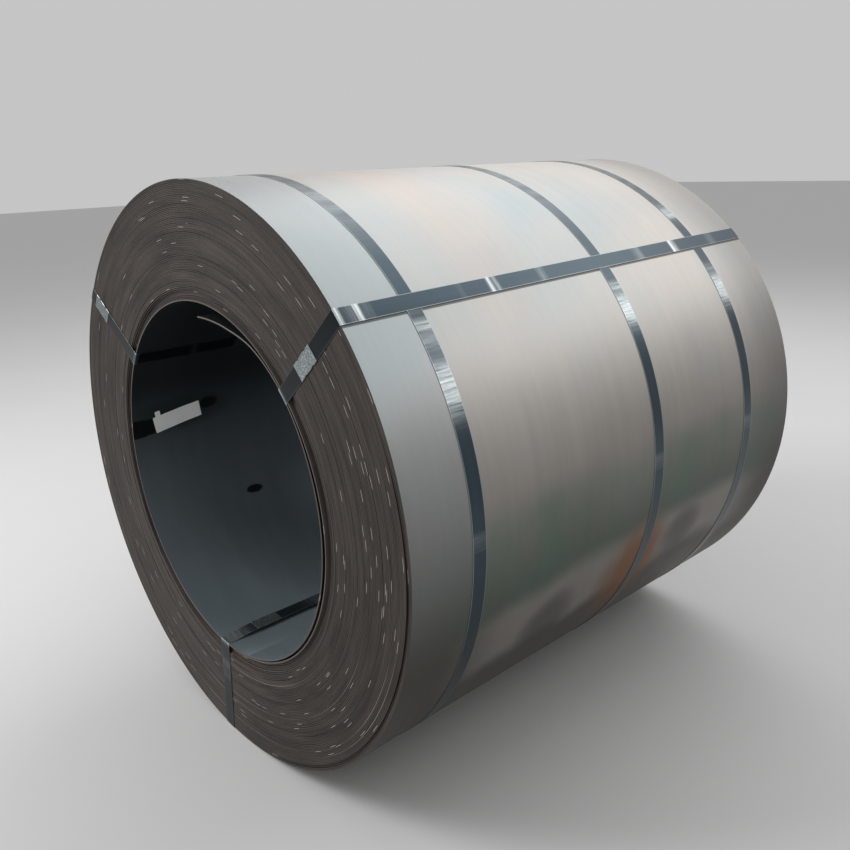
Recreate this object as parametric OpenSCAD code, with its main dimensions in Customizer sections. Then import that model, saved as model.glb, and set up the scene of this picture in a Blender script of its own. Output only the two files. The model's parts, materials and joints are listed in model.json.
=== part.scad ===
// Coil of hot-rolled steel strip, strapped for transport and lying on its side.
// The coil's axis runs along Y, its near end faces -Y and it rests at Z = 0.

/* [Coil] */
// Outside diameter of the wound coil
coil_d = 1220; // [1080:10:1500]
// Diameter of the bore, or eye, left by the coiler's mandrel
bore_d = 762; // [508:1:920]
// Width of the strip, which is the length of the coil
strip_w = 1250; // [800:10:1600]
// Thickness of the strip
strip_t = 3.2; // [1.5:0.1:6]
// Chamfer of the mill edges at the bore and the rim
edge_break = 1; // [0.4:0.1:3]

/* [Turns on the ends] */
// Turns between two edge lines on an end of the coil
turns_apart = 7; // [5:1:12]
// Width of the line between two turns
line_w = 2; // [1:0.5:4]
// Depth of the line between two turns
line_depth = 1; // [0.5:0.5:3]

/* [Strapping] */
// Width of the steel strap
strap_w = 32; // [19:1:40]
// Thickness of the steel strap
strap_t = 0.8; // [0.5:0.1:1.2]
// Clearance between a strap, seal or label and what it lies on
seat = 0.05; // [0.02:0.01:0.2]

/* [Belly straps] */
// Middle of the front belly strap, from the near end
belly_front = 153; // [60:1:280]
// Middle of the middle belly strap, past the middle of the coil
belly_middle = 60; // [-60:1:60]
// Middle of the rear belly strap, from the far end
belly_rear = 200; // [60:1:280]
// Direction of the belly straps' seals, from +X towards +Z
belly_seal_angle = 157; // [152:1:240]

/* [Eye straps] */
// Direction of the right eye strap, from +X towards +Z
eye_right_angle = 42.5; // [20:0.5:80]
// Slant of the right eye strap across the width of the coil
eye_right_slant = 1.5; // [-2:0.1:2]
// Direction of the left eye strap, from +X towards +Z
eye_left_angle = 145; // [110:0.5:147]
// Slant of the left eye strap
eye_left_slant = 0.5; // [-2:0.1:2]
// Direction of the bottom eye strap, beside the line that the coil rests on
eye_bottom_angle = -95.5; // [-120:0.5:-95.5]

/* [Seals] */
// Length of a crimped seal along its strap
seal_len = 64; // [40:1:80]
// Thickness of the seal's sheet
seal_t = 0.8; // [0.5:0.1:1]
// Middle of the right strap's seal, from the edge of the bore
right_seal_out = 102; // [60:1:105]
// Middle of the left strap's seal, from the rim of the coil
left_seal_in = 56; // [45:1:100]
// Middle of the bottom strap's seal, into the bore from the near end
bottom_seal_in = 108; // [60:1:300]

/* [Label] */
// Length of the label along the bore
label_len = 122; // [80:1:150]
// Height of the label round the bore
label_w = 41; // [30:1:60]
// Thickness of the label
label_t = 0.4; // [0.2:0.1:0.8]
// Middle of the label, into the bore from the near end
label_in = 115; // [90:1:300]
// Direction of the label, from +X towards +Z
label_angle = 172.5; // [160:0.5:200]
// Tilt of the label, its far end up
label_tilt = 10; // [-15:1:15]
// Side of the square tab that stands above the label
label_tab = 13; // [8:1:20]
// Middle of the tab, from the label's near end
label_tab_in = 14; // [12:1:40]

/* [Hidden] */
$fn = 96;

coil_r = coil_d / 2;
bore_r = bore_d / 2;
near_y = -strip_w / 2;
far_y = strip_w / 2;

// Radii and heights of the layers, each a seat above the last
belly_in_r = coil_r + seat;
belly_out_r = belly_in_r + strap_t;
eye_in_r = belly_out_r + seat;
eye_out_r = eye_in_r + strap_t;
strap_top = seat + strap_t;
seal_top = strap_top + seat + seal_t;
seal_gap_w = strap_w + 2 * seat;
seal_w = seal_gap_w + 2 * seal_t;

// The coil rests on its belly straps, so its axis stands this far above the floor
axis_z = belly_out_r;
reach = 2 * coil_d;

belly_y = [near_y + belly_front, belly_middle, far_y - belly_rear];

line_pitch = turns_apart * strip_t;
line_count = floor((coil_r - bore_r - line_w) / line_pitch);
line_rs = [for (i = [1 : line_count]) bore_r + i * line_pitch];

// Children drawn round Z are laid round the coil's own axis, along Y
module round_axis() {
    translate([0, 0, axis_z]) rotate([-90, 0, 0]) children();
}

// Children are turned so that +X points away from the axis at the angle
module facing(angle) {
    translate([0, 0, axis_z]) rotate([0, -angle, 0]) children();
}

module tube(r_in, r_out, y_low, y_high) {
    round_axis() translate([0, 0, y_low]) difference() {
        cylinder(r = r_out, h = y_high - y_low);
        translate([0, 0, -1]) cylinder(r = r_in, h = y_high - y_low + 2);
    }
}

// Half of the coil's section, with a shallow V between turns on both ends
function end_line(r, y, inward) =
    [[r - line_w / 2, y], [r, y + inward * line_depth], [r + line_w / 2, y]];
near_edge = [for (r = line_rs) each end_line(r, near_y, 1)];
far_edge = [for (i = [line_count - 1 : -1 : 0])
            let (v = end_line(line_rs[i], far_y, -1)) each [v[2], v[1], v[0]]];

module coil() {
    color("dimgray") round_axis() rotate_extrude()
        polygon(concat([[bore_r, near_y + edge_break], [bore_r + edge_break, near_y]],
                       near_edge,
                       [[coil_r - edge_break, near_y], [coil_r, near_y + edge_break]],
                       [[coil_r, far_y - edge_break], [coil_r - edge_break, far_y]],
                       far_edge,
                       [[bore_r + edge_break, far_y], [bore_r, far_y - edge_break]]));
}

// Strap round the outside of the coil
module belly_strap(y) {
    color("darkslategray")
        tube(belly_in_r, belly_out_r, y - strap_w / 2, y + strap_w / 2);
}

// Section of a sleeve on the coil's wall, from the wall out by top
module wrap_section(r_in, r_out, top, bend) {
    r0 = r_in - top + bend;
    r1 = r_out + top - bend;
    y0 = near_y - top + bend;
    y1 = far_y + top - bend;
    translate([r0 - bend, y0]) square([r1 - r0 + 2 * bend, y1 - y0]);
    translate([r0, y0 - bend]) square([r1 - r0, y1 - y0 + 2 * bend]);
    for (r = [r0, r1], y = [y0, y1]) translate([r, y]) circle(r = bend);
}

// Strap through the bore, over both ends and along the outside of the coil
module eye_strap(angle, slant) {
    color("darkslategray") intersection() {
        round_axis() rotate_extrude() difference() {
            wrap_section(bore_r, belly_out_r, strap_top, edge_break + strap_t);
            wrap_section(bore_r, belly_out_r, seat, edge_break);
        }
        facing(angle) rotate([slant, 0, 0])
            translate([0, -reach / 2, -strap_w / 2]) cube([reach / 2, reach, strap_w]);
    }
}

// Seal folded over an eye strap on the near end, its middle at radius r
module end_seal(angle, slant, r) {
    shift = near_y * tan(slant);
    color("silver") facing(angle) translate([r, near_y, shift]) difference() {
        translate([-seal_len / 2, -seal_top, -seal_w / 2])
            cube([seal_len, seal_top - seat, seal_w]);
        translate([-seal_len, -strap_top - seat, -seal_gap_w / 2])
            cube([2 * seal_len, strap_top + seat, seal_gap_w]);
    }
}

// Seal folded over an eye strap inside the bore, its middle at depth in
module bore_seal(angle, in) {
    color("silver") intersection() {
        difference() {
            tube(bore_r - seal_top, bore_r - seat, near_y, far_y);
            intersection() {
                tube(bore_r - strap_top - seat, bore_r, near_y - 1, far_y + 1);
                facing(angle) translate([0, -reach / 2, -seal_gap_w / 2])
                    cube([reach / 2, reach, seal_gap_w]);
            }
        }
        facing(angle) translate([0, near_y + in - seal_len / 2, -seal_w / 2])
            cube([coil_r, seal_len, seal_w]);
    }
}

// Seal folded over a belly strap
module belly_seal(y) {
    color("silver") intersection() {
        difference() {
            tube(belly_in_r, coil_r + seal_top, y - seal_w / 2, y + seal_w / 2);
            tube(coil_r, belly_out_r + seat, y - seal_gap_w / 2, y + seal_gap_w / 2);
        }
        facing(belly_seal_angle) translate([0, y - seal_w, -seal_len / 2])
            cube([coil_d, 2 * seal_w, seal_len]);
    }
}

// Paper label with a small tab on its upper edge, stuck on the bore's wall
module label() {
    color("white") intersection() {
        tube(bore_r - seat - label_t, bore_r - seat, near_y, far_y);
        facing(label_angle) translate([0, near_y + label_in, 0]) rotate([-label_tilt, 0, 0]) {
            translate([0, -label_len / 2, -label_w / 2]) cube([coil_r, label_len, label_w]);
            translate([0, label_tab_in - (label_len + label_tab) / 2, -label_w / 2 - label_tab])
                cube([coil_r, label_tab, label_tab + 1]);
        }
    }
}

coil();
belly_strap(belly_y[0]);  // belly_strap_front
belly_strap(belly_y[1]);  // belly_strap_middle
belly_strap(belly_y[2]);  // belly_strap_rear
belly_seal(belly_y[0]);  // belly_seal_front
belly_seal(belly_y[1]);  // belly_seal_middle
belly_seal(belly_y[2]);  // belly_seal_rear
eye_strap(eye_right_angle, eye_right_slant);  // eye_strap_right
eye_strap(eye_left_angle, eye_left_slant);  // eye_strap_left
eye_strap(eye_bottom_angle, 0);  // eye_strap_bottom
end_seal(eye_right_angle, eye_right_slant, bore_r + right_seal_out);  // eye_seal_right
end_seal(eye_left_angle, eye_left_slant, coil_r - left_seal_in);  // eye_seal_left
bore_seal(eye_bottom_angle, bottom_seal_in);  // eye_seal_bottom
label();
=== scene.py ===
"""Looks of a strapped coil of hot-rolled steel strip, laid out as a Blender add-on."""

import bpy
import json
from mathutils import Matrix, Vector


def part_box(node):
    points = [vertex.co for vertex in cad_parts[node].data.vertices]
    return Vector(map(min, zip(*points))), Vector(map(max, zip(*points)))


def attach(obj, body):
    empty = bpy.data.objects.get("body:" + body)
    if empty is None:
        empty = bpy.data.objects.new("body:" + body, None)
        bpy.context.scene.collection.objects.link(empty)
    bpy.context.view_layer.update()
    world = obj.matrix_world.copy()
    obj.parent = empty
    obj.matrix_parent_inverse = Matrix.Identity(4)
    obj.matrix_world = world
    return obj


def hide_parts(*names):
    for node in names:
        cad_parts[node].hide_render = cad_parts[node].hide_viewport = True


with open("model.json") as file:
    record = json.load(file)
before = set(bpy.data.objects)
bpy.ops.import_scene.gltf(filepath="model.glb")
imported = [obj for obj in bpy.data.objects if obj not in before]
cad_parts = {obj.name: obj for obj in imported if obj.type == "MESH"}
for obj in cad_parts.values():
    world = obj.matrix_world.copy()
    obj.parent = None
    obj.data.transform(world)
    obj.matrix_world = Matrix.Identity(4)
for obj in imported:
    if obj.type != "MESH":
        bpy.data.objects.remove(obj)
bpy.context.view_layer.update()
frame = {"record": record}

import json
import math
from collections import namedtuple

import bpy
import numpy as np
from mathutils import Vector

bl_info = {
    "name": "Steel coil",
    "version": (1, 0, 0),
    "blender": (4, 5, 0),
    "location": "View3D > Sidebar > Coil",
    "description": "Skins, finishes and stage of a strapped coil of hot-rolled strip",
    "category": "Object",
}

MM = 0.001
COIL_LOW, COIL_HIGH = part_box("coil")
EYE = frame["record"]["mounts"][0]
AXIS_Z = EYE["pos_m"][2]
BORE_R = EYE["dims"]["r_mm"] * MM
COIL_R = (COIL_HIGH.x - COIL_LOW.x) / 2
NEAR_Y, FAR_Y = COIL_LOW.y, COIL_HIGH.y
BELLIES = ("front", "middle", "rear")
EYES = ("right", "left", "bottom")
SEAT = 0.05 * MM        # gap between a strap, seal or loose turn and what it lies on


# ---------------------------------------------------------------- sizes and colours

def linear(code):
    """Linear colour of an sRGB hex code: c/12.92 below 0.04045, else ((c+0.055)/1.055)^2.4."""
    parts = np.array([int(code[k:k + 2], 16) / 255 for k in (1, 3, 5)])
    low = parts / 12.92
    high = ((parts + 0.055) / 1.055) ** 2.4
    return tuple(float(c) for c in np.where(parts <= 0.04045, low, high))


def colour(name, description, code):
    """Colour property whose default is an sRGB hex code."""
    return bpy.props.FloatVectorProperty(
        name=name, description=description, subtype="COLOR", size=3, min=0, max=1,
        default=linear(code))


def length(name, description, metres):
    """Length property in metres."""
    return bpy.props.FloatProperty(
        name=name, description=description, default=metres, unit="LENGTH", precision=5)


def angle(name, description, degrees):
    """Angle property whose default is in degrees."""
    return bpy.props.FloatProperty(
        name=name, description=description, default=math.radians(degrees), unit="ROTATION")


class CoilSizes(bpy.types.PropertyGroup):
    """Sizes of the wound strip."""
    strip_t: length("Strip", "Thickness of the strip", 3.2 * MM)
    line_depth: length("Line depth", "Depth of the line between two turns", 0.6 * MM)
    stagger: length("Stagger", "How far groups of turns stand back from the ends", 1.0 * MM)
    core_set_back: length("Core set-back", "How far the turns next to the bore stand back",
                          7 * MM)
    steps: bpy.props.IntProperty(
        name="Steps", description="Steps round the coil", default=216, min=96, max=240)
    lap_gap: length("Lap gap", "Widest gap behind the loose innermost turn", 8 * MM)
    lap_tail: length("Lap tail", "How far the loose turn's end hangs into the bore", 27 * MM)
    lap_start: angle("Lap start", "Direction in which the loose turn parts from the wall", -92)
    lap_end: angle("Lap end", "Direction of the loose turn's end", 88.5)


class StrapSizes(bpy.types.PropertyGroup):
    """Sizes of the steel strapping."""
    thickness: length("Thickness", "Thickness of the strap", 0.8 * MM)
    width: length("Width", "Width of the strap", 32 * MM)
    bend: length("Bend", "Inside radius where an eye strap turns over an edge", 1 * MM)
    slant: angle("Slant", "Slant of the right eye strap across the coil", 1.5)
    left_slant: angle("Left slant", "Slant of the left eye strap", 0.5)
    lift: length("Lift", "How far the bottom strap stands off the bore's wall", 6 * MM)


class SealSizes(bpy.types.PropertyGroup):
    """Sizes of the crimped seals."""
    length: length("Length", "Length of a seal along its strap", 64 * MM)
    sheet: length("Sheet", "Thickness of the seal's sheet", 0.7 * MM)
    height: length("Height", "Height of the seal over the steel under it", 1.65 * MM)
    width: length("Width", "Width of the seal", 33.6 * MM)
    pinch: length("Pinch", "How far a crimp pulls in each side of the seal", 2.2 * MM)


class LabelSizes(bpy.types.PropertyGroup):
    """Sizes of the label in the bore."""
    length: length("Length", "Length along the bore", 122 * MM)
    height: length("Height", "Height round the bore", 41 * MM)
    tab: length("Tab", "Side of the tab on the upper edge", 13 * MM)
    tab_in: length("Tab place", "Middle of the tab from the label's near end", 14 * MM)
    curl: length("Curl", "How far the far end lifts off the wall", 2.5 * MM)
    tilt: angle("Tilt", "Tilt of the label, its far end up", 10)


class StageSizes(bpy.types.PropertyGroup):
    """Camera and lights."""
    camera_at: bpy.props.FloatVectorProperty(
        name="Camera", description="Where the camera stands", unit="LENGTH",
        default=(1.5179, -1.3979, 1.2378))
    camera_turn: bpy.props.FloatVectorProperty(
        name="Camera turn", description="How the camera is turned", unit="ROTATION",
        default=tuple(math.radians(a) for a in (72.69, 2.097, 47.473)))
    lens: bpy.props.FloatProperty(
        name="Lens", description="Focal length in millimetres", default=36.12)


class FinishColours(bpy.types.PropertyGroup):
    """Colours of the finishes."""
    scale_warm: colour("Warm scale", "Mill scale where it is warm grey", "#bfbab5")
    scale_cool: colour("Cool scale", "Mill scale where it is blue grey", "#abb2b3")
    scale_green: colour("Green tint", "Mill scale with a thin green film", "#436657")
    # painted shade with some grime: darkens the lower sides of the coil
    grime_and_shade: colour("Grime", "Oil and dirt on the lower sides", "#37332a")
    edge_band: colour("Edge band", "Blue-grey scale along the near edge", "#9ea6aa")
    blush: colour("Blush", "Faint pink film over the scale", "#cfa997")
    # painted reflection: an amber patch low on the outside of the coil
    amber_reflection: colour("Heat tint", "Straw to amber temper colour", "#70400a")
    # also the painted shadow along the lower side of the right eye strap
    edge_brown: colour("Turn edges", "Oxidised edges of the turns", "#4e453f")
    # also the painted highlight along the bore's rim
    edge_dark: colour("Turn gaps", "Dark gaps and oily turns", "#2a2422")
    edge_bright: colour("Rubbed edges", "Edges rubbed to bright metal", "#b3a9a2")
    bore_blue: colour("Bore scale", "Blue-grey scale inside the bore", "#5f686d")
    # painted shade: dark green round the label in the bore
    dark_green_shade: colour("Oil film", "Thin green-black oil round the label", "#0d2219")
    oil_black: colour("Oil stain", "Thick oil and soot on the bore's wall", "#07070a")
    blued: colour("Blued strap", "Heat-blued strapping", "#39464e")
    # painted glints, sheen and edge highlights on the straps, real rubbed metal, and the seals'
    # painted sparkle
    strap_bright: colour("Worn strap", "Strapping rubbed to bright metal", "#d5dcdc")
    zinc: colour("Seal", "Zinc-coated seal", "#8e9799")
    paper: colour("Label", "Plain paper of the label", "#f4f5f2")
    floor: colour("Floor", "Paint of the studio floor", "#cbcbcb")


# ---------------------------------------------------------------- shapes

def around(radius, turn, y):
    """Points round the coil's axis: x = r cos a, z = axis height + r sin a, y as given."""
    radius, turn, y = np.broadcast_arrays(radius, turn, y)
    return np.stack([radius * np.cos(turn), y, AXIS_Z + radius * np.sin(turn)], -1)


def beside(direction, out, across, y):
    """Points beside the plane that holds the axis and one direction.

    out is the distance from the axis and across the distance from that plane, so the
    point is sqrt(out^2 - across^2) along the direction and across at right angles to it.
    """
    out, across, y = np.broadcast_arrays(out, across, y)
    along = np.sqrt(out ** 2 - across ** 2)
    cos, sin = math.cos(direction), math.sin(direction)
    return np.stack([along * cos - across * sin, y, AXIS_Z + along * sin + across * cos], -1)


def ease(x, low, high):
    """Rises from 0 at low to 1 at high as 3t^2 - 2t^3."""
    t = np.clip((x - low) / (high - low), 0, 1)
    return t * t * (3 - 2 * t)


def quads(rows, cols, loop_rows, loop_cols):
    """Corner numbers of each cell of a grid, whose rows or columns may close in a loop."""
    ids = np.arange(rows * cols).reshape(rows, cols)
    i = np.arange(rows if loop_rows else rows - 1)[:, None]
    j = np.arange(cols if loop_cols else cols - 1)[None, :]
    up, side = (i + 1) % rows, (j + 1) % cols
    return np.stack([ids[i, j], ids[up, j], ids[up, side], ids[i, side]], -1)


def skin(name, grids, materials, slots=None, marks=None, sharp=35):
    """Object over closed grids of points, each a (points, loop_rows) pair.

    Columns always close. Open rows end in flat caps. Each shell is turned outward by
    the sign of its volume, the sum of p . (q x r) / 6 over its triangles.
    """
    corners, faces, kinds, start = [], [], [], 0
    for number, (points, loop_rows) in enumerate(grids):
        rows, cols = points.shape[:2]
        cells = quads(rows, cols, loop_rows, True)
        kind = np.zeros(cells.shape[:2], int) if slots is None else slots[number]
        flat = points.reshape(-1, 3)
        p, q, r, s = (flat[cells[..., k].ravel()] - flat.mean(0) for k in range(4))
        volume = (p * np.cross(q, r)).sum() + (p * np.cross(r, s)).sum()
        shell = (cells.reshape(-1, 4) + start).tolist()
        if not loop_rows:
            first = list(range(start, start + cols))
            last = list(range(start + (rows - 1) * cols, start + rows * cols))
            shell += [first, last[::-1]]
        kind = np.append(kind.ravel(), [0] * (len(shell) - cells[..., 0].size))
        if volume < 0:
            shell = [face[::-1] for face in shell]
        corners.append(flat)
        faces += shell
        kinds.append(kind)
        start += len(flat)
    mesh = bpy.data.meshes.new(name)
    mesh.from_pydata(np.concatenate(corners).tolist(), [], faces)
    for material in materials:
        mesh.materials.append(material)
    mesh.polygons.foreach_set("material_index", np.concatenate(kinds).astype(np.int32))
    mesh.polygons.foreach_set("use_smooth", np.ones(len(mesh.polygons), bool))
    if marks is not None:
        layer = mesh.attributes.new("strap_place", "FLOAT_VECTOR", "POINT")
        layer.data.foreach_set("vector", marks.astype(np.float32).ravel())
    mesh.update()
    mesh.set_sharp_from_angle(angle=math.radians(sharp))
    made = bpy.data.objects.new(name, mesh)
    bpy.context.scene.collection.objects.link(made)
    return made


def stand_for(piece, node):
    """The piece rides on the one body and replaces a node of the solid model."""
    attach(piece, "root")
    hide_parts(node)


def direction_of(node):
    """Angle of a node's middle round the coil's axis."""
    low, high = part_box(node)
    middle = (low + high) / 2
    return math.atan2(middle.z - AXIS_Z, middle.x)


def set_back(count, sizes, seed):
    """How far each turn stands back from an end, by turn and angle.

    Groups of a few turns share three quarters of a random step, single turns add a
    quarter, the turns next to the bore share the core set-back, and each group wavers
    by an eighth of its step as sin(a + phase). The third and fourth turns in from the
    rim stand back further, most of all at the lower right.
    """
    rng = np.random.default_rng(seed)
    own = rng.random(count)
    group = np.cumsum(rng.random(count) < 0.28)
    shared = rng.random(group[-1] + 1)[group]
    turn = np.arange(count)
    back = sizes.stagger * (0.75 * shared + 0.25 * own)
    core = ease(turn, 0, 1) * (1 - ease(turn, 4.5, 8))
    back = back * (1 - core) + sizes.core_set_back * core
    back[[0, -1]] = 0
    rim = (turn >= count - 4) * (turn <= count - 3)
    border = np.append(False, np.diff(group) > 0)
    angles = np.linspace(-math.pi, math.pi, sizes.steps, endpoint=False)
    phase = (rng.random(group[-1] + 1) * math.tau)[group]
    wave = 0.12 * np.sin(angles[None] + phase[:, None])
    low_right = ease(angles, -1.5, -0.9) * (1 - ease(angles, -0.2, 0.6))
    rim_step = rim[:, None] * (0.2 + 3.4 * low_right) * sizes.stagger
    return angles, back[:, None] * (1 + wave) + rim_step, border


def end_profile(sizes, seed, end_y, inward):
    """Angles, radii and heights of one end of the coil.

    Each turn gives three points: the line before it, line_depth below the turn, and
    its two corners, a seventh of the pitch in from its sides. The line between two
    groups is three and a half times as deep.
    """
    count = int((COIL_R - BORE_R) / sizes.strip_t)
    pitch = (COIL_R - BORE_R) / count
    turns, back, border = set_back(count, sizes, seed)
    inner = BORE_R + pitch * np.arange(count)
    before = np.maximum(back, np.roll(back, 1, 0)) + sizes.line_depth
    before = before + 2.5 * sizes.line_depth * border[:, None]
    before[0] = sizes.line_depth
    radii = np.stack([inner, inner + 0.14 * pitch, inner + 0.86 * pitch], 1).ravel()
    depth = np.stack([before, back, back], 1).reshape(-1, len(turns))
    radii = np.append(radii, COIL_R)
    depth = np.concatenate([depth, np.full((1, len(turns)), sizes.line_depth)])
    return turns, radii, end_y + inward * depth


def coil_surface(sizes):
    """Section of the coil turned round its axis: near end, rim, far end and bore."""
    turns, radii, near = end_profile(sizes, 7, NEAR_Y, 1)
    _, _, far = end_profile(sizes, 19, FAR_Y, -1)
    runs = 9
    walls = np.linspace(near[-1], far[-1], runs + 2)[1:-1]
    r = np.concatenate([radii, np.full(runs, COIL_R), radii[::-1], np.full(runs, BORE_R)])
    y = np.concatenate([near, walls, far[::-1], walls[::-1]])
    kinds = np.concatenate([
        np.zeros(len(radii) - 1), np.ones(runs + 1),
        np.zeros(len(radii) - 1), np.full(runs + 1, 2)]).astype(int)
    points = around(r[:, None], turns[None], y)
    return points, np.repeat(kinds[:, None], len(turns), 1)


def lap_stand_off(turns, sizes):
    """Gap between the bore's wall and the loose innermost turn, by angle in radians.

    It opens past the bottom strap, is widest at the right, is pinched under the right
    strap, and runs out to the hanging tail. It is straight between the places given.
    """
    start, end = math.degrees(sizes.lap_start), math.degrees(sizes.lap_end)
    gap, tail = sizes.lap_gap, sizes.lap_tail
    places = [(start, 0), (start + 12, 0.15 * gap), (-45, 0.6 * gap), (-5, gap),
              (20, 0.85 * gap), (36, 0.45 * gap), (43, 0.3 * gap), (52, 0.5 * gap),
              (end - 29, 0.26 * tail), (end - 19, 0.66 * tail), (end - 8, 0.9 * tail),
              (end, tail)]
    return np.interp(np.degrees(turns), *zip(*places))


def lap_surface(sizes):
    """The loose innermost turn: a strip as wide as the coil along r = bore - gap(a).

    Its thickness grows from next to nothing over the first 20 degrees, and the gap is
    smoothed over 13 steps. Each cross-section is a loop: the outer face, the near edge,
    the inner face and the far edge. The two faces take the second material.
    """
    turns = np.linspace(sizes.lap_start, sizes.lap_end, 240)
    bell = np.hanning(13) / np.hanning(13).sum()
    off = np.convolve(np.pad(lap_stand_off(turns, sizes), 6, "edge"), bell, "valid") + SEAT
    thick = sizes.strip_t * ease(turns, turns[0], turns[0] + math.radians(20)) + 0.02 * MM
    round_off = 0.7 * MM
    across = 12
    face = np.linspace(NEAR_Y + round_off, FAR_Y - round_off, across)
    y = np.concatenate([face[::-1], [NEAR_Y, NEAR_Y], face, [FAR_Y, FAR_Y]])
    depth = np.concatenate([np.zeros(across), [0.25, 0.75], np.ones(across), [0.75, 0.25]])
    radius = BORE_R - off[:, None] - thick[:, None] * depth[None]
    points = around(radius, turns[:, None], y[None])
    kinds = np.tile(np.append(np.ones(across - 1, int), [0, 0, 0]), 2)
    return points, np.repeat(kinds[None], len(turns) - 1, 0)


def strap_section(sizes):
    """Across and height of the points round a strap's section: a flat bar, its edges
    eased by three tenths of its thickness."""
    half, t = sizes.width / 2, sizes.thickness
    cut = 0.3 * t
    across = [-half + cut, 0, half - cut, half, half,
              half - cut, 0.4 * half, 0, -0.4 * half, -half + cut, -half, -half]
    height = [0, 0, 0, cut, t - cut, t, t, t, t, t, t - cut, cut]
    return np.array(across), np.array(height)


def place_marks(along, across, highlight_and_shade):
    """Distance along the strap and across it, in metres, and the painted light there: 1
    painted highlight, 0 plain, -1 painted shade."""
    marks = np.zeros((len(along), len(across), 3))
    marks[..., 0] = along[:, None]
    marks[..., 1] = across[None]
    marks[..., 2] = highlight_and_shade[:, None]
    return marks


def bells(x, places, half):
    """Sum of exp(-((x - place) / half)^2) over the places."""
    return np.exp(-((x[:, None] - np.array(places)[None]) / half) ** 2).sum(1)


def belly_surface(sizes, middle, outer_r, seed, glint_degrees):
    """A strap round the coil: its section at r = outer radius, wandering sideways as
    0.4 mm (sin 2a + sin 5a). It has painted glints at the given degrees and a little
    painted sheen on top, and painted shade underneath."""
    turns = np.linspace(0, math.tau, 360, endpoint=False) + math.radians(157)
    across, height = strap_section(sizes)
    wander = 0.4 * MM * (np.sin(2 * turns + seed) + np.sin(5 * turns + 2 * seed))
    radius = outer_r - sizes.thickness + height
    points = around(radius[None], turns[:, None], middle + wander[:, None] + across[None])
    degrees = np.degrees(turns) - 360
    # painted glints at the given degrees and a painted sheen on top
    highlight_and_shade = bells(degrees, glint_degrees, 2.4) + 0.4 * bells(degrees, [76], 14)
    # painted shade on the lower side
    highlight_and_shade = highlight_and_shade - ease(degrees, -150, -110) * (1 - ease(degrees, -45, 5))
    return points, place_marks(turns * outer_r, across, highlight_and_shade)


def rounded_loop(low_r, high_r, low_y, high_y, bend, steps, start):
    """Closed path with round corners in the plane of radius and y, evenly stepped on
    each straight, and its outward normals. It starts at its point nearest to start."""
    corners = [(high_r, low_y, -90), (high_r, high_y, 0), (low_r, high_y, 90),
               (low_r, low_y, 180)]
    signs = [(-1, 1), (-1, -1), (1, -1), (1, 1)]
    path, normal = [], []
    for (r, y, first), (in_r, in_y) in zip(corners, signs):
        sweep = np.radians(np.linspace(first, first + 90, 9))
        arc = np.stack([np.cos(sweep), np.sin(sweep)], -1)
        path.append(np.array([r + in_r * bend, y + in_y * bend]) + bend * arc)
        normal.append(arc)
    out, facing = [], []
    for k in range(4):
        begin, stop = path[k][-1], path[(k + 1) % 4][0]
        t = np.linspace(0, 1, steps[k] + 2)[1:-1, None]
        out += [path[k], begin + t * (stop - begin)]
        facing += [normal[k], np.repeat(normal[k][-1:], steps[k], 0)]
    out, facing = np.concatenate(out), np.concatenate(facing)
    shift = int(np.argmin(np.hypot(*(out - start).T)))
    return np.roll(out, -shift, 0), np.roll(facing, -shift, 0)


def bore_lift(y, lift):
    """How far a slack strap stands off the bore's wall: it rises from 4 to 70 mm past
    the near edge and falls away over the far half."""
    return lift * ease(y, NEAR_Y + 0.004, NEAR_Y + 0.07) * (1 - ease(y, 0, FAR_Y - 0.05))


def eye_surface(sizes, direction, slant, lift, under, start):
    """A strap through the bore: a rounded loop round the coil's wall in the plane of
    radius and y, its section carried along the loop's normals. The plane is shifted
    sideways by y tan(slant). It has painted glints at a few places along the outside and
    at the bore's near edge, painted light on a slack strap in the bore, and painted shade
    on the near end and, unless slack, in the bore."""
    top_r = COIL_R + sizes.thickness + 2 * SEAT
    outside_steps, end_steps, bore_steps = 420, 24, 120
    path, normal = rounded_loop(
        BORE_R - SEAT - under, top_r, NEAR_Y - SEAT, FAR_Y + SEAT, sizes.bend,
        (outside_steps, end_steps, bore_steps, end_steps), np.array(start))
    across, height = strap_section(sizes)
    inside = ease(path[:, 0], BORE_R + 6 * MM, BORE_R)
    r = path[:, :1] + normal[:, :1] * height[None]
    r = r - (inside * bore_lift(path[:, 1], lift))[:, None]
    y = path[:, 1:] + normal[:, 1:] * height[None]
    side = across[None] + y * math.tan(slant)
    step = np.hypot(*np.diff(path, axis=0, append=path[:1]).T)
    along = np.cumsum(step) - step
    points = beside(direction, r, side, y)
    outside = path[:, 0] > COIL_R
    deep = path[:, 1] - NEAR_Y      # metres from the near end, as the places below
    glints = [0.002, 0.043, 0.352, 0.366, 0.958, 0.972]
    # painted glints along the outside
    highlight_and_shade = outside * 2 * bells(deep, glints, 5 * MM)
    # painted light on the top of a slack strap in the bore
    if lift > 0:
        highlight_and_shade = highlight_and_shade + inside * 0.6 * bells(deep, [0.0, 0.02, 0.27], 40 * MM)
    # painted glint where the strap turns over the bore's near edge
    corner = np.hypot(path[:, 0] - BORE_R + under, deep)
    highlight_and_shade = highlight_and_shade + np.exp(-(corner / (6 * MM)) ** 2)
    # painted shade on the near end and, unless slack, in the bore
    face = (deep < 1 * MM) & (path[:, 0] < COIL_R)
    hidden = (path[:, 0] < BORE_R) & (lift == 0)
    highlight_and_shade = np.where((face | hidden) & (highlight_and_shade < 0.3), -1.0, highlight_and_shade)
    return points, place_marks(along, across, highlight_and_shade)


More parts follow.
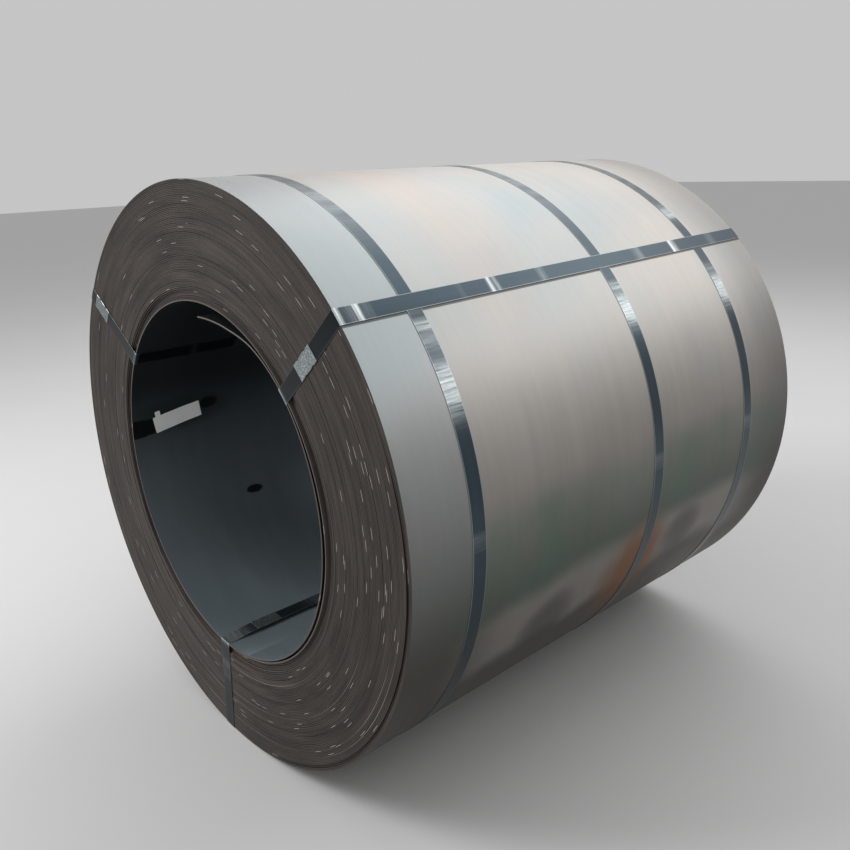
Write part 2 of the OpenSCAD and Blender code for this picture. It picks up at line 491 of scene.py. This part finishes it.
def seal_section(sizes, pinch):
    """Section of a folded seal at each row: a channel open towards the steel, outer
    wall then inner wall. A crimp draws its sides in and sinks its shoulders."""
    half = sizes.width / 2 - sizes.pinch * pinch[:, None]
    top, t = sizes.height, sizes.sheet
    corner = 0.5 * MM
    share = np.array([-1, -1, -1, -0.6, -0.2, 0.2, 0.6, 1, 1, 1])
    side = np.array([0, top - corner, top, top, top])
    pull = np.array([0, 0, corner, 0, 0, 0, 0, corner, 0, 0])
    across = share[None] * half - np.sign(share)[None] * pull[None]
    sink = np.array([0, 0.4, 0.75, 0.5, 0]) * MM
    high = np.append(side, side[::-1])[None] - np.append(sink, sink[::-1])[None] * pinch[:, None]
    inner_across = np.sign(across[:, ::-1]) * np.maximum(np.abs(across[:, ::-1]) - t, 1e-5)
    inner_high = np.maximum(high[:, ::-1] - t, 0)
    inner_high[:, [0, -1]] = 0
    across = np.concatenate([across, inner_across], 1)
    return across, np.concatenate([high, inner_high], 1)


def seal_shape(sizes):
    """Rows along a seal with two pairs of crimps, each exp(-(x / 3 mm)^2)."""
    along = np.linspace(-sizes.length / 2, sizes.length / 2, 57)
    places = np.array([-0.22, 0.22]) * sizes.length
    pinch = np.exp(-((along[:, None] - places[None]) / (3 * MM)) ** 2).sum(1)
    across, high = seal_section(sizes, pinch)
    return along, across, high


def label_sheet(long, high, middle, corner):
    """Rows along a strip of paper: its section is a thin loop, back then front, whose
    height narrows at both ends as a circle of the corner's radius."""
    along = np.concatenate([
        -long / 2 + corner * (1 - np.cos(np.linspace(0, math.pi / 2, 6))),
        np.linspace(-long / 2 + corner, long / 2 - corner, 26)[1:-1],
        long / 2 - corner * (1 - np.sin(np.linspace(0, math.pi / 2, 6)))])
    edge = np.minimum(along + long / 2, long / 2 - along)
    near = np.clip(1 - edge / corner, 0, 1)
    half = high / 2 - corner * (1 - np.sqrt(np.maximum(1 - near ** 2, 0)))
    across = np.linspace(-1, 1, 9)
    side = np.concatenate([across, across[::-1]])
    layer = np.repeat([0, 1], len(across))
    rows = np.repeat(along[:, None], len(side), 1)
    return rows + middle[0], half[:, None] * side[None] + middle[1], layer


# ---------------------------------------------------------------- finishes

Polar = namedtuple("Polar", "radius turn y unit place")


def add(tree, kind, inputs=(), **settings):
    """Adds a node with its settings, gives its inputs values or links, and returns its
    outputs. The inputs come in order, or by number or name."""
    made = tree.nodes.new("ShaderNode" + kind)
    for key, value in settings.items():
        setattr(made, key, value)
    for socket, value in inputs.items() if isinstance(inputs, dict) else enumerate(inputs):
        if isinstance(value, bpy.types.NodeSocket):
            tree.links.new(value, made.inputs[socket])
        else:
            made.inputs[socket].default_value = value
    return made.outputs


def even(size):
    """Sizes in metres of a pattern that is the same every way, from millimetres."""
    return (size * MM,) * 3


def wound(long, wide):
    """Sizes of a pattern in a ring's space, from millimetres round the rim and across."""
    return (long * MM / COIL_R, wide * MM, long * MM / COIL_R)


def on_strap(long, wide=math.inf):
    """Sizes of a pattern on a strap, from millimetres along it and across it."""
    return (long * MM, wide * MM, math.inf)


def pattern(tree, place, sizes, detail, rough):
    """Noise read at place / sizes, so that its largest lumps have about these sizes."""
    scaled = add(tree, "VectorMath", (place, tuple(1 / size for size in sizes)),
                 operation="MULTIPLY")[0]
    return add(tree, "TexNoise", {"Vector": scaled, "Scale": 1.0, "Detail": detail,
                                  "Roughness": rough})["Fac"]


def window(tree, value, low, high, soft):
    """1 between low and high, easing to 0 over soft outside them."""
    rise = add(tree, "MapRange", (value, low - soft, low),
               interpolation_type="SMOOTHSTEP")[0]
    fall = add(tree, "MapRange", (value, high, high + soft, 1.0, 0.0),
               interpolation_type="SMOOTHSTEP")[0]
    return add(tree, "Math", (rise, fall), operation="MULTIPLY")[0]


def waver(tree, value, share, lumps):
    """value + share (lumps - 1/2), which makes a straight border ragged."""
    off = add(tree, "Math", (lumps, share, -share / 2), operation="MULTIPLY_ADD")[0]
    return add(tree, "Math", (value, off), operation="ADD")[0]


def spot(tree, turn, y, at, size, soft=1.0):
    """A round patch by angle and y, in radians and metres.

    With d = ((turn - at) / size, (y - at) / size), it is 1 where d . d is under 1 - soft
    and eases to 0 where d . d is 1.
    """
    flat = add(tree, "CombineXYZ", (turn, y))[0]
    scale = (1 / size[0], 1 / size[1], 0)
    shift = (-at[0] / size[0], -at[1] / size[1], 0)
    off = add(tree, "VectorMath", (flat, scale, shift), operation="MULTIPLY_ADD")[0]
    square = add(tree, "VectorMath", (off, off), operation="DOT_PRODUCT")["Value"]
    return add(tree, "MapRange", (square, 1.0 - soft, 1.0, 1.0, 0.0),
               interpolation_type="SMOOTHSTEP")[0]


def cover(tree, body, film, strength, *masks):
    """Lays a film of another colour over the body, its share the strength times each
    mask. Either colour is a socket or a plain colour."""
    for mask in masks:
        strength = add(tree, "Math", (strength, mask), operation="MULTIPLY")[0]
    first, second = (c if isinstance(c, bpy.types.NodeSocket) else (*c, 1)
                     for c in (body, film))
    return add(tree, "Mix", {0: strength, 6: first, 7: second}, data_type="RGBA")[2]


def tone(tree, body, share, low, high):
    """Multiplies a colour by a grey, low where the share is 0 and high where it is 1."""
    grey = add(tree, "MapRange", {0: share, 3: low, 4: high})[0]
    return add(tree, "VectorMath", {0: body, 3: grey}, operation="SCALE")[0]


def round_the_axis(tree):
    """Place about the coil's axis: radius, angle, y, the unit vector (cos a, 0, sin a)
    and the plain place."""
    place = add(tree, "TexCoord")["Object"]
    centred = add(tree, "Mapping", (place, (0, 0, -AXIS_Z)))[0]
    parts = add(tree, "SeparateXYZ", (centred,))
    flat = add(tree, "CombineXYZ", {0: parts[0], 2: parts[2]})[0]
    return Polar(
        radius=add(tree, "VectorMath", (flat,), operation="LENGTH")["Value"],
        turn=add(tree, "Math", (parts[2], parts[0]), operation="ARCTAN2")[0],
        y=parts[1],
        unit=add(tree, "VectorMath", (flat,), operation="NORMALIZE")[0],
        place=place)


def ring(tree, unit, third):
    """Space without a seam for patterns round the coil: (cos a, third, sin a)."""
    lift = add(tree, "CombineXYZ", {1: third})[0]
    return add(tree, "VectorMath", (unit, lift), operation="ADD")[0]


def new_finish(name):
    """Material with an empty tree."""
    made = bpy.data.materials.new(name)
    made.use_nodes = True
    made.node_tree.nodes.clear()
    return made, made.node_tree


def finish(tree, metallic, body, rough, height=None, depth=0.0, strength=1.0):
    """Adds the shader with its colour and roughness, and a bump whose full height is
    depth metres."""
    inputs = {"Metallic": metallic, "Base Color": body, "Roughness": rough}
    if height is not None:
        inputs["Normal"] = add(tree, "Bump", {
            "Height": height, "Distance": depth, "Strength": strength})[0]
    shader = add(tree, "BsdfPrincipled", inputs)[0]
    add(tree, "OutputMaterial", (shader,))


def mill_scale(colours, slant):
    """Hot-rolled steel with its mill scale: a thin blue-grey oxide left by rolling hot.

    It gives the eye a matt grey with a wide soft sheen, faint streaks round the coil
    along the rolling direction, and a thin-film tint of green. Painted light lies on it
    too: painted shade with some grime on the lower sides, painted shade towards the far
    end, an amber painted reflection low on the right, and a painted shadow along the
    lower side of the right eye strap.
    """
    made, tree = new_finish("mill_scale_hot_rolled")
    at = round_the_axis(tree)
    rolled = ring(tree, at.unit, at.y)
    patches = pattern(tree, at.place, even(454.5), 2.0, 0.5)
    streaks = pattern(tree, rolled, wound(677.8, 26.3), 4.0, 0.6)
    cloud = pattern(tree, rolled, wound(277.3, 111.1), 3.0, 0.55)
    grain = pattern(tree, at.place, even(1.1), 2.0, 0.6)   # coarser than real, to show
    ragged = waver(tree, at.turn, 0.3, patches)

    # the strip's two greys, the cool one along the near edge
    edge = window(tree, at.y, NEAR_Y - 0.1, NEAR_Y + 0.1, 0.1)
    cool = add(tree, "MapRange", (patches, 0.42, 0.68))[0]
    share = add(tree, "Math", (edge, 0.5, cool), operation="MULTIPLY_ADD")[0]
    body = cover(tree, colours.scale_warm, colours.scale_cool, 1.0, share)
    body = cover(tree, body, colours.blush, 0.18,
                 spot(tree, ragged, at.y, (1.05, -0.26), (0.6, 0.15)))
    body = cover(tree, body, colours.scale_cool, 0.35,
                 spot(tree, ragged, at.y, (0.95, -0.42), (0.7, 0.13)))
    body = cover(tree, body, colours.edge_band, 0.35, edge)

    # painted shade with some grime, darker towards the lower sides and lighter in a band
    height = add(tree, "SeparateXYZ", (at.unit,))[2]
    lower_shade_and_grime = add(tree, "MapRange", (waver(tree, height, 0.25, patches), -0.36, 0.62, 1.0, 0.0),
                interpolation_type="SMOOTHSTEP")[0]
    body = cover(tree, body, colours.grime_and_shade, 0.96, lower_shade_and_grime)
    body = cover(tree, body, colours.scale_warm, 0.3,
                 window(tree, ragged, -0.42, -0.30, 0.10),
                 window(tree, at.y, -0.35, 0.40, 0.2))

    # green thin-film tint, painted shade towards the far end, an amber painted reflection, and
    # dirt
    film = add(tree, "MapRange", (cloud, 0.3, 0.68, 0.12, 0.5))[0]
    body = cover(tree, body, colours.scale_green, 1.0, film,
                 window(tree, ragged, -0.20, -0.02, 0.13),
                 window(tree, at.y, -0.42, 0.50, 0.16))
    # painted shade: darker towards the far end
    far = add(tree, "MapRange", (at.y, FAR_Y - 0.26, FAR_Y, 1.0, 0.62),
              interpolation_type="SMOOTHSTEP")[0]
    body = add(tree, "VectorMath", {0: body, 3: far}, operation="SCALE")[0]
    # painted reflection: an amber patch low on the right side
    body = cover(tree, body, colours.amber_reflection, 0.9,
                 spot(tree, ragged, at.y, (-0.42, 0.03), (0.24, 0.14)),
                 add(tree, "MapRange", (cloud, 0.32, 0.55, 0.4, 1.0))[0])
    for middle, size in (((-0.38, 0.21), (0.14, 0.09)), ((-0.42, -0.24), (0.12, 0.10))):
        body = cover(tree, body, colours.edge_dark, 0.6,
                     spot(tree, ragged, at.y, middle, size))
    # painted shadow: a dark line along the lower side of the right eye strap
    right = direction_of("eye_strap_right")
    normal = (-math.sin(right), -math.tan(slant), math.cos(right))
    aside = add(tree, "VectorMath", (at.place, normal), operation="DOT_PRODUCT")["Value"]
    aside = add(tree, "Math", (aside, AXIS_Z * normal[2]), operation="SUBTRACT")[0]
    body = cover(tree, body, colours.edge_dark, 0.75,
                 window(tree, aside, -20 * MM, -15 * MM, 1.5 * MM),
                 window(tree, at.turn, right - 0.2, right + 0.2, 0.01))
    body = tone(tree, body, streaks, 0.86, 1.12)
    rough = add(tree, "MapRange", {0: streaks, 3: 0.40, 4: 0.54})[0]
    waves = add(tree, "Math", (streaks, 0.35, grain), operation="MULTIPLY_ADD")[0]
    finish(tree, 0.62, body, rough, waves, 0.10 * MM, 0.5)
    return made


def turn_edges(colours, strip_t):
    """Sheared and rolled edges of the turns, oxidised brown where they lie in a stack.

    They give the eye fine concentric lines, dull brown between them, with short bright
    dashes where handling has rubbed the edges to metal, and a painted highlight along
    the bore's rim.
    """
    made, tree = new_finish("turn_edges_oxidised")
    at = round_the_axis(tree)
    stack = ring(tree, at.unit, at.radius)
    pitch = (COIL_R - BORE_R) / int((COIL_R - BORE_R) / strip_t)
    out = add(tree, "Math", (at.radius, BORE_R), operation="SUBTRACT")[0]
    step = add(tree, "Math", (out, pitch), operation="DIVIDE")[0]
    number = add(tree, "Math", (step,), operation="FLOOR")[0]
    inside = add(tree, "Math", (step,), operation="FRACT")[0]
    turn_tone = add(tree, "TexWhiteNoise", {"W": number}, noise_dimensions="1D")["Value"]
    smear = pattern(tree, stack, wound(203.3, 16.67), 4.0, 0.6)
    wide = pattern(tree, stack, wound(554.5, 111.1), 3.0, 0.5)
    grit = pattern(tree, at.place, even(1.43), 3.0, 0.6)   # coarser than real, to show
    body = cover(tree, colours.edge_dark, colours.edge_brown, 1.0,
                 add(tree, "MapRange", (smear, 0.3, 0.75))[0])
    body = tone(tree, body, turn_tone, 0.88, 1.14)
    body = tone(tree, body, wide, 0.7, 1.3)
    body = tone(tree, body, window(tree, inside, 0.16, 0.84, 0.12), 0.55, 1.0)

    # dashes: each turn has 120 places round it, and a few of them are rubbed bright
    slid = add(tree, "Math", (at.turn, 120 / math.tau, turn_tone),
               operation="MULTIPLY_ADD")[0]
    cell = add(tree, "CombineXYZ", (add(tree, "Math", (slid,), operation="FLOOR")[0],
                                    number))[0]
    chance = add(tree, "TexWhiteNoise", {"Vector": cell}, noise_dimensions="2D")["Value"]
    zone = window(tree, at.radius, 0.72 * COIL_R, 0.95 * COIL_R, 0.08)
    sideways = add(tree, "SeparateXYZ", (at.unit,))[0]
    often = add(tree, "MapRange", (sideways, -0.3, 0.6, 0.007, 0.03))[0]
    often = add(tree, "Math", (zone, often), operation="MULTIPLY")[0]
    limit = add(tree, "Math", (0.998, often), operation="SUBTRACT")[0]
    dashes = add(tree, "Math", (chance, limit), operation="GREATER_THAN")[0]
    part = add(tree, "Math", (slid,), operation="FRACT")[0]
    dashes = add(tree, "Math", (dashes, window(tree, part, 0.25, 0.8, 0.2)),
                 operation="MULTIPLY")[0]

    # arcs: some turns are rubbed along a stretch at the lower right
    arcs = add(tree, "Math", (turn_tone, 0.84), operation="GREATER_THAN")[0]
    for mask in (window(tree, at.turn, -1.75, -0.55, 0.35), zone,
                 add(tree, "MapRange", (wide, 0.42, 0.6, 0.0, 0.6))[0]):
        arcs = add(tree, "Math", (arcs, mask), operation="MULTIPLY")[0]
    rubbed = add(tree, "Math", (dashes, arcs), operation="MAXIMUM")[0]
    rubbed = add(tree, "Math", (rubbed, window(tree, inside, 0.58, 0.74, 0.12)),
                 operation="MULTIPLY")[0]

    # painted highlight along the bore's rim, and a nick beside the label
    rim = add(tree, "MapRange", (at.radius, BORE_R + 3 * MM, BORE_R + 4 * MM, 0.16, 0.0))[0]
    nick = spot(tree, at.turn, at.radius, (math.radians(172), BORE_R + 4 * MM), (0.022, 0.016))
    for share in (smear, 1.3):
        nick = add(tree, "Math", (nick, share), operation="MULTIPLY")[0]
    bright = rubbed
    for mark in (rim, nick):
        bright = add(tree, "Math", (bright, mark), operation="MAXIMUM")[0]
    body = cover(tree, body, colours.edge_bright, 1.0, bright)
    rough = add(tree, "MapRange", {0: rubbed, 3: 0.62, 4: 0.3})[0]
    height = add(tree, "Math", (grit, smear), operation="ADD")[0]
    finish(tree, 0.3, body, rough, height, 0.25 * MM, 0.6)
    return made


def bore_scale(colours):
    """Mill scale inside the bore: cooler and smoother, because the mandrel pressed it.

    It gives the eye a blue-grey sheen, with painted light below and to the left and
    painted shade above, fine streaks round the bore, painted shade round the label, and
    oily dark spots.
    """
    made, tree = new_finish("bore_scale_hot_rolled")
    at = round_the_axis(tree)
    streaks = pattern(tree, ring(tree, at.unit, at.y), wound(435.7, 38.5), 4.0, 0.6)
    cloud = pattern(tree, at.place, even(333.3), 3.0, 0.5)
    ragged = waver(tree, at.turn, 0.02, pattern(tree, at.place, even(25), 3.0, 0.55))
    body = tone(tree, colours.bore_blue, cloud, 0.75, 1.2)
    body = tone(tree, body, streaks, 0.88, 1.1)
    # painted light and shade: lighter low and to the left, darker high and to the right
    parts = add(tree, "SeparateXYZ", (at.unit,))
    height = add(tree, "Math", (parts[0], 0.35, parts[2]), operation="MULTIPLY_ADD")[0]
    light_below_shade_above = add(tree, "MapRange", (height, 0.12, -0.85), interpolation_type="SMOOTHSTEP")[0]
    body = tone(tree, body, light_below_shade_above, 0.16, 1.7)
    # painted shade: dark green round the label
    body = cover(tree, body, colours.dark_green_shade, 0.6,
                 spot(tree, ragged, at.y, (math.radians(171), NEAR_Y + 0.12), (0.14, 0.16)))
    # a spot of oil on the wall, a smear at the near edge and a scuff beyond the label
    for degrees, deep, size, soft in ((-152.2, 0.284, (0.034, 0.028), 0.6),
                                      (174.2, 0.0, (0.066, 0.1), 0.35),
                                      (169.5, 0.2, (0.045, 0.028), 0.6)):
        stain = spot(tree, ragged, at.y, (math.radians(degrees), NEAR_Y + deep), size, soft)
        body = cover(tree, body, colours.oil_black, 0.97, stain)
    rough = add(tree, "MapRange", {0: streaks, 3: 0.36, 4: 0.5})[0]
    finish(tree, 0.55, body, rough, streaks, 0.12 * MM, 0.4)
    return made


def blued_strap(colours):
    """High-tensile strapping, cold rolled and blued by heat.

    It gives the eye a dark slate with a smooth sheen along its length, a painted
    highlight along its edges, ticks and patches where rollers and hooks rubbed the blue
    away, painted glints and sheen, and painted shade where it lies on the coil's near
    end, in the bore and low round the coil.
    """
    made, tree = new_finish("blued_strapping")
    mark = add(tree, "Attribute", attribute_name="strap_place")["Vector"]
    _, across, highlight_and_shade = add(tree, "SeparateXYZ", (mark,))
    drawn = pattern(tree, mark, on_strap(250, 6.25), 4.0, 0.6)
    patch = pattern(tree, mark, on_strap(111.1), 2.0, 0.5)
    scratches = pattern(tree, mark, on_strap(5.882, 111.1), 3.0, 0.7)
    blocks = pattern(tree, mark, on_strap(47.62), 1.0, 0.5)
    ticks = add(tree, "Math", (add(tree, "MapRange", (scratches, 0.3, 0.65, 0.15, 1.0))[0],
                               add(tree, "MapRange", (blocks, 0.4, 0.5, 0.25, 1.0))[0]),
                operation="MULTIPLY")[0]
    rubbed = add(tree, "MapRange", (patch, 0.58, 0.7, 0.0, 0.35))[0]
    # painted glints and sheen, with real rubbed patches, laid on as bright metal
    wear_and_highlight = add(tree, "Math", (highlight_and_shade, rubbed), operation="MAXIMUM")[0]
    wear_and_highlight = add(tree, "Math", (wear_and_highlight, ticks), operation="MULTIPLY", use_clamp=True)[0]
    # painted shade where the marks fall below zero
    out_of_shade = add(tree, "MapRange", (highlight_and_shade, -1.0, 0.0))[0]
    body = tone(tree, colours.blued, drawn, 0.75, 1.25)
    body = tone(tree, body, out_of_shade, 0.2, 1.0)
    body = cover(tree, body, colours.strap_bright, 0.8, wear_and_highlight)
    # painted highlight along both edges, weaker in the painted shade
    middle = window(tree, across, -14.5 * MM, 14.5 * MM, 0.8 * MM)
    body = cover(tree, body, colours.strap_bright, 0.35,
                 add(tree, "MapRange", (middle, 0.0, 1.0, 1.0, 0.0))[0],
                 add(tree, "Math", (out_of_shade, 0.25), operation="MAXIMUM")[0])
    rough = add(tree, "MapRange", {0: drawn, 3: 0.24, 4: 0.38})[0]
    finish(tree, 0.85, body, rough, drawn, 0.04 * MM, 0.4)
    return made


def zinc_seal(colours):
    """Seal pressed from zinc-coated sheet and crimped shut.

    It gives the eye a bright grey with cloudy spangle and bright specks of painted sparkle.
    """
    made, tree = new_finish("zinc_coated_seal")
    place = add(tree, "TexCoord")["Object"]
    spangle = add(tree, "TexVoronoi", {"Vector": place, "Scale": 1 / (3.85 * MM)})["Color"]
    cloud = pattern(tree, place, even(8.33), 4.0, 0.6)
    sparkle_specks = pattern(tree, place, even(3.03), 2.0, 0.6)
    body = tone(tree, colours.zinc, cloud, 0.6, 1.15)
    body = tone(tree, body, spangle, 0.9, 1.08)
    # painted sparkle: bright specks
    body = cover(tree, body, colours.strap_bright, 1.0,
                 add(tree, "MapRange", (sparkle_specks, 0.6, 0.66))[0])
    rough = add(tree, "MapRange", {0: cloud, 3: 0.22, 4: 0.45})[0]
    finish(tree, 0.9, body, rough, cloud, 0.3 * MM, 0.6)
    return made


def label_paper(colours):
    """Coated paper label, calendered: it gives the eye a flat white with a faint fibre
    and a few handling marks."""
    made, tree = new_finish("label_paper")
    place = add(tree, "TexCoord")["Object"]
    fibre = pattern(tree, place, even(0.667), 3.0, 0.7)    # coarser than real, to show
    grime_and_shade = pattern(tree, place, even(22.2), 3.0, 0.6)
    body = tone(tree, colours.paper, fibre, 0.94, 1.03)
    body = tone(tree, body, grime_and_shade, 0.95, 1.05)
    rough = add(tree, "MapRange", {0: grime_and_shade, 3: 0.5, 4: 0.65})[0]
    finish(tree, 0.0, body, rough, fibre, 0.03 * MM, 0.3)
    return made


def pale_floor(colours):
    """Pale painted studio floor, rolled on: even and matt."""
    made, tree = new_finish("pale_floor_paint")
    cloud = pattern(tree, add(tree, "TexCoord")["Object"], even(666.7), 2.0, 0.5)
    rough = add(tree, "MapRange", {0: cloud, 3: 0.7, 4: 0.8})[0]
    finish(tree, 0.0, tone(tree, colours.floor, cloud, 0.98, 1.02), rough)
    return made


FINISHES = {}


def use_finish(name, make, *args):
    """The finish of that name, made once."""
    if name not in FINISHES:
        FINISHES[name] = make(*args)
    return FINISHES[name]


# ---------------------------------------------------------------- operators

class COIL_OT_windings(bpy.types.Operator):
    """Skin of the wound strip: its ends with their turns, its rim and its bore"""
    bl_idname = "coil.windings"
    bl_label = "Windings and loose inner turn"

    def execute(self, context):
        sizes, colours = context.scene.coil_sizes, context.scene.coil_colours
        ends = use_finish("ends", turn_edges, colours, sizes.strip_t)
        outer = use_finish("outer", mill_scale, colours, context.scene.strap_sizes.slant)
        bore = use_finish("bore", bore_scale, colours)
        points, kinds = coil_surface(sizes)
        body = skin("wound_strip", [(points, True)], [ends, outer, bore], [kinds], sharp=28)
        stand_for(body, "coil")
        points, kinds = lap_surface(sizes)
        lap = skin("loose_inner_turn", [(points, False)], [ends, bore], [kinds])
        stand_for(lap, "coil")
        return {"FINISHED"}


class COIL_OT_belly_straps(bpy.types.Operator):
    """Straps round the outside of the coil"""
    bl_idname = "coil.belly_straps"
    bl_label = "Belly straps"

    def execute(self, context):
        sizes, colours = context.scene.strap_sizes, context.scene.coil_colours
        blued = use_finish("blued", blued_strap, colours)
        # painted glints: degrees round each strap where it catches the light
        glint_degrees = ([36, 28, 24], [35, 31], [52, 34, 30])     # degrees round each strap
        for seed, which in enumerate(BELLIES):
            node = f"belly_strap_{which}"
            low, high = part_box(node)
            points, marks = belly_surface(sizes, (low.y + high.y) / 2,
                                          (high.z - low.z) / 2, seed, glint_degrees[seed])
            strap = skin(f"strap_round_{which}", [(points, True)], [blued], marks=marks)
            stand_for(strap, node)
        return {"FINISHED"}


class COIL_OT_eye_straps(bpy.types.Operator):
    """Straps through the bore and over both ends"""
    bl_idname = "coil.eye_straps"
    bl_label = "Eye straps"

    def execute(self, context):
        sizes, colours = context.scene.strap_sizes, context.scene.coil_colours
        coil = context.scene.coil_sizes
        blued = use_finish("blued", blued_strap, colours)
        slants = (sizes.slant, sizes.left_slant, 0.0)
        for which, slant in zip(EYES, slants):
            node = f"eye_strap_{which}"
            lift = sizes.lift if which == "bottom" else 0.0
            low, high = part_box(f"eye_seal_{which}")
            middle = (low + high) / 2
            start = (math.hypot(middle.x, middle.z - AXIS_Z), middle.y)
            direction = direction_of(node)
            under = 0.0
            if which == "right":
                under = float(lap_stand_off(direction, coil)) + coil.strip_t
            points, marks = eye_surface(sizes, direction, slant, lift, under, start)
            strap = skin(f"strap_through_{which}", [(points, True)], [blued], marks=marks)
            stand_for(strap, node)
        return {"FINISHED"}


class COIL_OT_seals(bpy.types.Operator):
    """Crimped seals that close the straps"""
    bl_idname = "coil.seals"
    bl_label = "Seals"

    def execute(self, context):
        scene = context.scene
        sizes, straps = scene.seal_sizes, scene.strap_sizes
        zinc = use_finish("zinc", zinc_seal, scene.coil_colours)
        along, across, high = seal_shape(sizes)
        for which in BELLIES:
            node = f"belly_seal_{which}"
            low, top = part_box(node)
            turn = direction_of(node) + along[:, None] / COIL_R
            points = around(COIL_R + SEAT + high, turn, (low.y + top.y) / 2 + across)
            stand_for(skin(f"seal_round_{which}", [(points, False)], [zinc]), node)
        for which, slant in zip(("right", "left"), (straps.slant, straps.left_slant)):
            node = f"eye_seal_{which}"
            direction = direction_of(f"eye_strap_{which}")
            low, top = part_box(node)
            middle = (low + top) / 2
            out = middle.x * math.cos(direction) + (middle.z - AXIS_Z) * math.sin(direction)
            side = across + NEAR_Y * math.tan(slant)
            points = beside(direction, np.hypot(out + along[:, None], side), side,
                            NEAR_Y - SEAT - high)
            stand_for(skin(f"seal_end_{which}", [(points, False)], [zinc]), node)
        node = "eye_seal_bottom"
        low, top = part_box(node)
        y = (low.y + top.y) / 2 + along[:, None]
        lifted = bore_lift(y, straps.lift)
        points = beside(direction_of("eye_strap_bottom"),
                        BORE_R - SEAT - lifted - high, across, y)
        stand_for(skin("seal_in_bore", [(points, False)], [zinc]), node)
        return {"FINISHED"}


class COIL_OT_label(bpy.types.Operator):
    """Plain label stuck on the bore's wall"""
    bl_idname = "coil.label"
    bl_label = "Label"

    def execute(self, context):
        sizes = context.scene.label_sizes
        paper = use_finish("paper", label_paper, context.scene.coil_colours)
        low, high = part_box("label")
        direction = direction_of("label")
        middle_y = (low.y + high.y) / 2
        cos, sin = math.cos(-sizes.tilt), math.sin(-sizes.tilt)
        shells = []
        overlap, glue, thick = 1 * MM, 0.1 * MM, 0.25 * MM
        tab_at = (sizes.tab_in - sizes.length / 2,
                  -(sizes.height + sizes.tab) / 2 + overlap / 2)
        for long, wide, at, corner in (
                (sizes.length, sizes.height, (0, 0), 2 * MM),
                (sizes.tab, sizes.tab + overlap, tab_at, 1 * MM)):
            u, v, layer = label_sheet(long, wide, at, corner)
            y = u * cos - v * sin
            side = u * sin + v * cos
            lift = glue + sizes.curl * ease(u, 0.1 * sizes.length, 0.55 * sizes.length)
            radius = BORE_R - lift - thick * layer[None]
            shells.append((around(radius, direction + side / BORE_R, middle_y + y), False))
        stand_for(skin("bore_label", shells, [paper]), "label")
        return {"FINISHED"}


class COIL_OT_stage(bpy.types.Operator):
    """Pale floor, soft studio light and the camera"""
    bl_idname = "coil.stage"
    bl_label = "Stage"

    def execute(self, context):
        scene, sizes = context.scene, context.scene.stage_sizes
        mesh = bpy.data.meshes.new("floor")
        half = 30.0
        mesh.from_pydata([(-half, -half, 0), (half, -half, 0), (half, half, 0),
                          (-half, half, 0)], [], [(0, 1, 2, 3)])
        mesh.materials.append(pale_floor(scene.coil_colours))
        floor = bpy.data.objects.new("floor", mesh)
        scene.collection.objects.link(floor)
        # each light's name, place, aim, size in metres and power in watts
        lights = (("far_overhead", (-0.8, 3.6, 5.2), (0.0, 0.0, 0.9), (6.2, 3.2), 128),
                  ("far_right", (2.7, 3.4, 3.3), (0.3, 0.0, 0.9), (3.2, 2.0), 40),
                  ("front_left", (-2.2, -3.4, 3.4), (0.0, -0.5, 0.3), (2.0, 2.0), 150))
        for name, at, aim, size, watts in lights:
            lamp = bpy.data.lights.new(name, "AREA")
            lamp.shape = "RECTANGLE"
            lamp.energy = watts
            lamp.size, lamp.size_y = size
            made = bpy.data.objects.new(name, lamp)
            made.location = at
            made.rotation_euler = (Vector(aim) - Vector(at)).to_track_quat("-Z", "Y").to_euler()
            scene.collection.objects.link(made)
        world = bpy.data.worlds.new("studio")
        world.use_nodes = True
        sky = world.node_tree.nodes["Background"].inputs
        sky["Color"].default_value = (1, 1, 1, 1)
        sky["Strength"].default_value = 0.56
        scene.world = world
        scene.view_settings.view_transform = "Standard"
        camera = bpy.data.cameras.new("camera")
        camera.lens = sizes.lens
        camera.sensor_width = 36
        eye = bpy.data.objects.new("camera", camera)
        eye.location = sizes.camera_at
        eye.rotation_euler = sizes.camera_turn
        scene.collection.objects.link(eye)
        scene.camera = eye
        return {"FINISHED"}


class COIL_PT_panel(bpy.types.Panel):
    """Lists the steps that dress the coil, and their sizes and colours"""
    bl_idname = "COIL_PT_panel"
    bl_label = "Steel coil"
    bl_space_type = "VIEW_3D"
    bl_region_type = "UI"
    bl_category = "Coil"

    def draw(self, context):
        for operator in OPERATORS:
            self.layout.operator(operator.bl_idname)
        for name, group in GROUPS.items():
            box = self.layout.box()
            for value in group.__annotations__:
                box.prop(getattr(context.scene, name), value)


GROUPS = {"coil_sizes": CoilSizes, "strap_sizes": StrapSizes, "seal_sizes": SealSizes,
          "label_sizes": LabelSizes, "stage_sizes": StageSizes, "coil_colours": FinishColours}
OPERATORS = (COIL_OT_windings, COIL_OT_belly_straps, COIL_OT_eye_straps, COIL_OT_seals,
             COIL_OT_label, COIL_OT_stage)


def register():
    """Registers every class and hangs the sizes on the scene."""
    for group in (*GROUPS.values(), *OPERATORS, COIL_PT_panel):
        bpy.utils.register_class(group)
    for name, group in GROUPS.items():
        setattr(bpy.types.Scene, name, bpy.props.PointerProperty(type=group))


def unregister():
    """Takes the sizes off the scene and unregisters every class."""
    for name in GROUPS:
        delattr(bpy.types.Scene, name)
    for group in reversed((*GROUPS.values(), *OPERATORS, COIL_PT_panel)):
        bpy.utils.unregister_class(group)


def main():
    """Dresses the coil."""
    register()
    bpy.ops.coil.windings()
    bpy.ops.coil.belly_straps()
    bpy.ops.coil.eye_straps()
    bpy.ops.coil.seals()
    bpy.ops.coil.label()
    bpy.ops.coil.stage()


if __name__ == "__main__":
    main()
